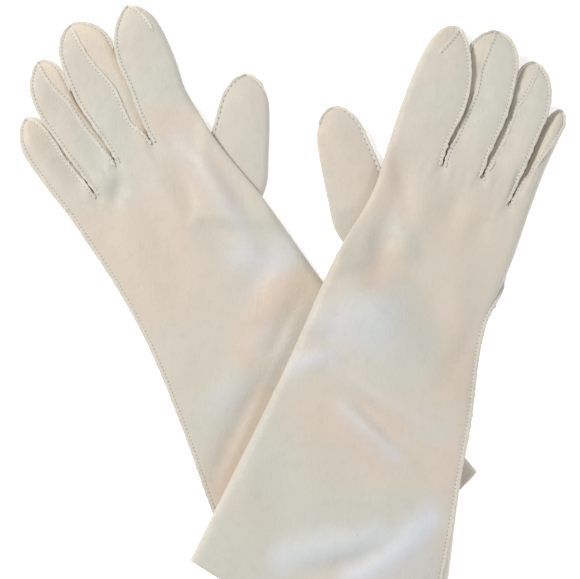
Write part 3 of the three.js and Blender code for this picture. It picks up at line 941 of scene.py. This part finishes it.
def new_material(name, roughness, sheen, specular):
    material = bpy.data.materials.new(name)
    material.use_nodes = True
    tree = material.node_tree
    shader = tree.nodes["Principled BSDF"]
    shader.inputs["Sheen Weight"].default_value = sheen
    shader.inputs["Sheen Roughness"].default_value = 0.45
    shader.inputs["Specular IOR Level"].default_value = specular
    shader.inputs["Roughness"].default_value = roughness
    return material, tree, shader


def kid_leather(name, base=CREAM, patches=1.0, grain=1.0, roughness=0.56):
    """Fine, soft glove leather: mottled cream, with pores, faint hairlines, a few specks and painted
    bluish-white highlights where the tones lay them.
    """
    material, tree, shader = new_material(name, roughness, sheen=0.12, specular=0.34)
    broad = texture(tree, "TexNoise", 11, 1).outputs["Fac"]
    other = texture(tree, "TexNoise", 15, 1, turn=1.1).outputs["Fac"]
    mottle = texture(tree, "TexNoise", 190, 4).outputs["Fac"]
    pores = texture(tree, "TexVoronoi", 1500)
    creases = texture(tree, "TexVoronoi", 240, stretch=(1, 0.45, 1), turn=0.5)
    creases.feature = "DISTANCE_TO_EDGE"
    hairs = texture(tree, "TexNoise", 330, 3, stretch=(1, 0.12, 1), turn=-0.3).outputs["Fac"]
    specks = texture(tree, "TexVoronoi", 95)

    def stored(name):
        return add_node(tree, "Attribute", attribute_name=name).outputs["Fac"]

    colour = base
    for value, low, high, first, last, hue in (
        (broad, 0.42, 0.7, 0, 0.55 * patches, PEACH),
        (other, 0.44, 0.72, 0, 0.6 * patches, COOL),
        (stored("warm"), 0.05, 1, 0, 0.9, PEACH),
        # painted highlight, where the tones lay one
        (stored("bright"), 0.05, 1, 0, 0.9, PAINTED_HIGHLIGHT_COLOUR),
        (mottle, 0.46, 0.76, 0, 0.1, SHADE),
        (hairs, 0.62, 0.74, 0, 0.08, SHADE),
        (stored("edge"), 0.1, 1, 0, 0.3, PALE),
        (pores.outputs["Distance"], 0.0, 0.22, 0.16, 0, SHADE),
        (specks.outputs["Distance"], 0.012, 0.03, 0.6, 0, SPECK),
    ):
        colour = tint(tree, ramp(tree, value, low, high, first, last), colour, hue)
    link(tree, colour, shader.inputs["Base Color"])

    gloss = ramp(tree, mottle, 0.35, 0.7, roughness - 0.07, roughness + 0.07)
    link(tree, gloss, shader.inputs["Roughness"])
    pits = ramp(tree, pores.outputs["Distance"], 0.0, 0.4)
    lines = ramp(tree, creases.outputs["Distance"], 0.0, 0.09)
    surface_bump = bump(tree, mottle, 0.0005, 0.22 * grain)
    surface_bump = bump(tree, lines, 0.00012, 0.35 * grain, surface_bump)
    surface_bump = bump(tree, hairs, 0.0003, 0.14 * grain, surface_bump)
    surface_bump = bump(tree, pits, 0.00006, 0.55 * grain, surface_bump)
    link(tree, surface_bump, shader.inputs["Normal"])
    return material


def cut_edge(name):
    """The pressed edges of the seams: paler, drier leather with a fibrous edge."""
    material, tree, shader = new_material(name, 0.7, sheen=0.2, specular=0.25)
    fibres = texture(tree, "TexNoise", 900, 4, stretch=(1, 0.35, 1)).outputs["Fac"]
    blotches = texture(tree, "TexNoise", 160, 2).outputs["Fac"]
    colour = tint(tree, ramp(tree, blotches, 0.4, 0.7, 0, 0.5), SEAM_PALE, PALE)
    colour = tint(tree, ramp(tree, fibres, 0.5, 0.75, 0, 0.4), colour, RAW_EDGE)
    link(tree, colour, shader.inputs["Base Color"])
    link(tree, ramp(tree, fibres, 0.3, 0.7, 0.62, 0.8), shader.inputs["Roughness"])
    link(tree, bump(tree, fibres, 0.0004, 0.6), shader.inputs["Normal"])
    return material


def stitch_thread_and_hole_shade(name):
    """Grey-beige thread with the twist of its two plies, darkened as painted shade for the stitch holes
    it sits in.
    """
    material, tree, shader = new_material(name, 0.6, sheen=0.3, specular=0.3)
    twist = texture(tree, "TexNoise", 2600, 2, turn=0.8, stretch=(1, 0.3, 1)).outputs["Fac"]
    colour = tint(tree, ramp(tree, twist, 0.35, 0.65, 0, 0.6), THREAD_AND_HOLE_SHADE, SHADE)
    link(tree, colour, shader.inputs["Base Color"])
    link(tree, ramp(tree, twist, 0.3, 0.7, 0.5, 0.7), shader.inputs["Roughness"])
    link(tree, bump(tree, twist, 0.0002, 0.5), shader.inputs["Normal"])
    return material


LEATHER_FACE = kid_leather("kid_leather")
SIDE_LEATHER = kid_leather("fourchette_leather", srgb(209, 198, 181), patches=0.7, roughness=0.6)
HEM_LEATHER = kid_leather("turned_edge_leather", PALE, patches=0.4, grain=0.7, roughness=0.6)
# The stitches' material is thread darkened as painted shade for the stitch holes.
SEAM_EDGE = cut_edge("seam_edge")
SEAM_STITCHES_AND_HOLE_SHADE = stitch_thread_and_hole_shade("seam_thread_and_hole_shade")
LEATHERS = dict(leather=LEATHER_FACE, fourchette=SIDE_LEATHER, hem=HEM_LEATHER)  # by slot


# -------------------- the pieces of a glove


def set_tones(obj, glove, grid, edge=0.0):
    """Stores where the leather is pale at an edge, where it is warm, and where a highlight is painted
    on, on both faces of a shell.
    """
    across, along = grid[..., 0], grid[..., 1]
    tones = dict(edge=edge + np.zeros(across.shape), warm=np.zeros(across.shape))
    tones["bright"] = np.zeros(across.shape)
    for tone, strength, width, points in glove["tones"]:
        distance, _ = distance_to_line(across, along, points)
        wander = 1 + 0.45 * soft_noise(across, along, width * 1.3, width)
        tones[tone] = np.maximum(tones[tone], strength * np.exp(-((distance / width * wander) ** 2)))
    for tone, values in tones.items():
        attribute = obj.data.attributes.new(tone, "FLOAT", "POINT")
        attribute.data.foreach_set("value", np.concatenate([np.ravel(values)] * 2).astype(np.float32))


def finish_piece(obj, material, slot, node, hand, body=None, bend=None):
    """Gives a piece its materials and hides the CAD node it stands for. Without a bend it is attached
    to the body it moves with; with one, its placing is only baked into its mesh.
    """
    for one in material:
        obj.data.materials.append(one)
    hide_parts(node)
    if bend is None:
        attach(obj, hand if body is None else body)
    else:
        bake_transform(obj)


def finish_leather(obj, glove, grid, slot, node, *moves, held="folded", edge=0.0):
    set_tones(obj, glove, grid, edge)
    finish_piece(obj, [LEATHERS[slot]], slot, f"{glove['name']}_{node}", *moves)


def add_seam(node, glove, moves, *shape, **settings):
    obj = seam_piece(f"{glove['name']}_glove_{node}", glove, *shape, **settings)
    finish_piece(obj, [SEAM_EDGE, SEAM_STITCHES_AND_HOLE_SHADE], "seam", f"{glove['name']}_{node}", *moves)


def bend_points(glove, across, base):
    """Two points on a finger's back at full height, at its base and BEND_LENGTH further along."""
    start = place(glove, (across, base, GLOVE_HEIGHT))
    end = place(glove, (across, base + BEND_LENGTH, GLOVE_HEIGHT))
    end[2] = start[2]
    return tuple(start.tolist()), tuple(end.tolist())


def build_hand(glove):
    name, hand = glove["name"], glove["name"] + "_hand"
    outline = hand_outline(glove)
    stations = hand_stations()
    seam = side_seam_turn
    grid = strip(outline, glove, stations, seam, seam, HAND_COLUMNS)
    trank = leather_piece(name + "_glove_trank", glove, rounded_rim(grid))
    inboard = np.maximum(from_edge(glove, grid[..., 0], grid[..., 1]), 0)
    finish_leather(trank, glove, grid, "leather", "trank", hand, edge=np.exp(-inboard / 3))

    rows = stations[stations * HAND_LENGTH < HEM_DEPTH]
    grid = strip(outline, glove, rows, seam, seam, HAND_COLUMNS)
    hem = leather_piece(
        name + "_glove_hem", glove, rounded_rim(grid, 0.5), wall=HEM_THICKNESS, lift=-LEATHER - 0.05)
    finish_leather(hem, glove, grid, "hem", "cuff_hem", hand, edge=1)

    def hidden(points):
        return glove["seam_turned_in"] * smooth(points[:, 1], *SEAM_TURNS_IN)

    def width(points):
        return SIDE_SEAM_WIDTH * mix(1, HIDDEN_SEAM_SHARE, smooth(hidden(points), 0, 0.4))

    def tilt(points):
        rolled = glove["seam_roll"] * (1 - smooth(points[:, 1], *SEAM_ROLLS))
        return mix(SEAM_TILT, HIDDEN_SEAM_TILT, hidden(points)) + ROLLED_SEAM_TILT * rolled

    points = seam_path(outline, glove, stations[2:], seam)
    add_seam(
        "side_seam", glove, [hand], points, width, 1, tilt, seed=1.0, waviness=SIDE_SEAM_WAVINESS)


def rounded_rim(grid, depth=0.35):
    """The cuff's edge eased down, so that it doesn't end in a sharp corner."""
    normals = normals_of(grid)
    eased = grid.copy()
    for row, share in enumerate((1, 0.4)):
        eased[row] -= normals[row] * depth * share
    return eased


def build_finger(glove, name):
    """A finger's leather between its seams. The index and little finger fold round one side."""
    side, finger = glove["name"], glove[name]
    outline = finger_outline(glove, name)
    stations = limb_stations(outline)
    outer = side_seam_turn if name == "little" else fixed_turn(finger["outer_seam"])
    inner = turn_of_line(finger, finger["back_seam"]) if "back_seam" in finger else None
    bottom_far, bottom_near = fixed_turn(2.0), fixed_turn(4.0)
    base = LITTLE_BASE if name == "little" else FINGER_BASE
    centre = (finger["thumb_side"](base) + finger["little_side"](base)) / 2
    moves = [side + "_hand", f"{side}_{name}", bend_points(glove, float(centre), base)]

    inner_side = (bottom_near, inner, 14)
    back = (inner, outer, 20)
    outer_side = (outer, bottom_far, 9)
    if name == "index":
        pieces = dict(panel=(bottom_far, outer, 44), side=outer_side)
    elif name == "little":
        pieces = dict(side=inner_side, back=back, palm=(outer, bottom_near, 26))
    else:
        palm = (bottom_far, bottom_near, 18)
        pieces = dict(inner_side=inner_side, back=back, outer_side=outer_side, palm=palm)
    for kind, (start, end, columns) in pieces.items():
        node = f"{name}_{kind}"
        grid = strip(outline, glove, stations, start, end, columns)
        obj = leather_piece(f"{side}_glove_{node}", glove, grid)
        slot = "fourchette" if kind.endswith("side") else "leather"
        held = "folded" if kind == "panel" else "laid"
        finish_leather(obj, glove, grid, slot, node, *moves, held=held)

    outer_node = "index_seam" if name == "index" else name + "_outer_seam"
    points = seam_path(outline, glove, stations, outer)
    if name == "index":
        over = turn_of_line(finger, finger["dart"])
        ending = near_tip(outline, stations, finger["dart_length"])
    else:
        over = fixed_turn(THUMB_SIDE_SEAM)
        ending = near_tip(outline, stations, TIP_SEAM)
    points = np.concatenate([points, seam_path(outline, glove, ending, over)[1:]])
    seams = [(outer_node, points if name == "little" else with_tail(points), 1)]
    if inner:
        inner_node = "little_seam" if name == "little" else name + "_inner_seam"
        points = with_tail(seam_path(outline, glove, stations, inner))
        seams.append((inner_node, points, finger.get("seam_side", -1)))
    for number, (node, points, lean_to) in enumerate(seams):
        seed = 3.7 * number + len(name) + glove["mirror"]
        turned_in = node == "little_outer_seam" and glove["seam_turned_in"]
        tilt = HIDDEN_SEAM_TILT if turned_in else SEAM_TILT
        add_seam(node, glove, moves, points, SEAM_WIDTH, lean_to, tilt, seed=seed)


def build_thumb(glove):
    body = glove["name"] + "_thumb"
    outline = thumb_outline(glove)
    stations = limb_stations(outline, rows=36)
    seam = fixed_turn(1 + SIDE_SEAM_TURN)
    grid = strip(outline, glove, stations, seam, seam, 52)
    obj = leather_piece(glove["name"] + "_glove_thumb_panel", glove, grid, draped=False)
    finish_leather(obj, glove, grid, "leather", "thumb_panel", body)

    ending = near_tip(outline, stations, THUMB_TIP_SEAM)
    over = seam_path(outline, glove, ending, fixed_turn(THUMB_SIDE_SEAM))
    points = np.concatenate([seam_path(outline, glove, stations, seam), over[1:]])
    add_seam(
        "thumb_seam", glove, [body], points, SEAM_WIDTH, 1,
        draped=False, seed=9.0, stitch=THUMB_STITCH)


for glove in (LEFT, RIGHT):
    build_hand(glove)
    for name in ("index", "middle", "ring", "little"):
        build_finger(glove, name)
    build_thumb(glove)


# -------------------- floor, light and camera

VIEW_CENTRE = (-0.0005, 0.037)  # metres from the middle of the pair
VIEW_WIDTH = 0.325
CAMERA_HEIGHT = 2.2
SENSOR = 36.0


def add_floor():
    bpy.ops.mesh.primitive_plane_add(size=6)
    floor = bpy.context.object
    floor.name = "floor"
    material, tree, shader = new_material("pale_floor", 0.9, sheen=0, specular=0.1)
    tone = texture(tree, "TexNoise", 3, 2).outputs["Fac"]
    colour = tint(tree, ramp(tree, tone, 0.3, 0.7), (0.93, 0.93, 0.93, 1), (0.95, 0.95, 0.95, 1))
    link(tree, colour, shader.inputs["Base Color"])
    shader.inputs["Emission Color"].default_value = (1, 1, 1, 1)
    shader.inputs["Emission Strength"].default_value = 0.45
    floor.data.materials.append(material)


def add_area_light(name, location, size, power, colour):
    data = bpy.data.lights.new(name, "AREA")
    data.shape = "DISK"
    data.size = size
    data.energy = power
    data.color = colour
    light = bpy.data.objects.new(name, data)
    light.location = location
    light.rotation_euler = (-Vector(location)).to_track_quat("-Z", "Y").to_euler()
    bpy.context.scene.collection.objects.link(light)


def add_lights():
    world = bpy.data.worlds.new("studio")
    world.use_nodes = True
    world.node_tree.nodes["Background"].inputs["Color"].default_value = (0.97, 0.985, 1, 1)
    world.node_tree.nodes["Background"].inputs["Strength"].default_value = 0.5
    bpy.context.scene.world = world
    add_area_light("key", (-1.1, 0.75, 1.3), 0.6, 27, (1, 0.985, 0.96))
    add_area_light("side", (1.3, -0.9, 0.8), 0.5, 10, (0.82, 0.91, 1))


def add_camera():
    data = bpy.data.cameras.new("camera")
    data.sensor_width = SENSOR
    data.lens = SENSOR * CAMERA_HEIGHT / VIEW_WIDTH
    camera = bpy.data.objects.new("camera", data)
    low, high = cad_box
    x = (low[0] + high[0]) / 2 + VIEW_CENTRE[0]
    y = (low[1] + high[1]) / 2 + VIEW_CENTRE[1]
    camera.location = (x, y, CAMERA_HEIGHT)
    bpy.context.scene.collection.objects.link(camera)
    bpy.context.scene.camera = camera
    bpy.context.scene.view_settings.view_transform = "Standard"


add_floor()
add_lights()
add_camera()
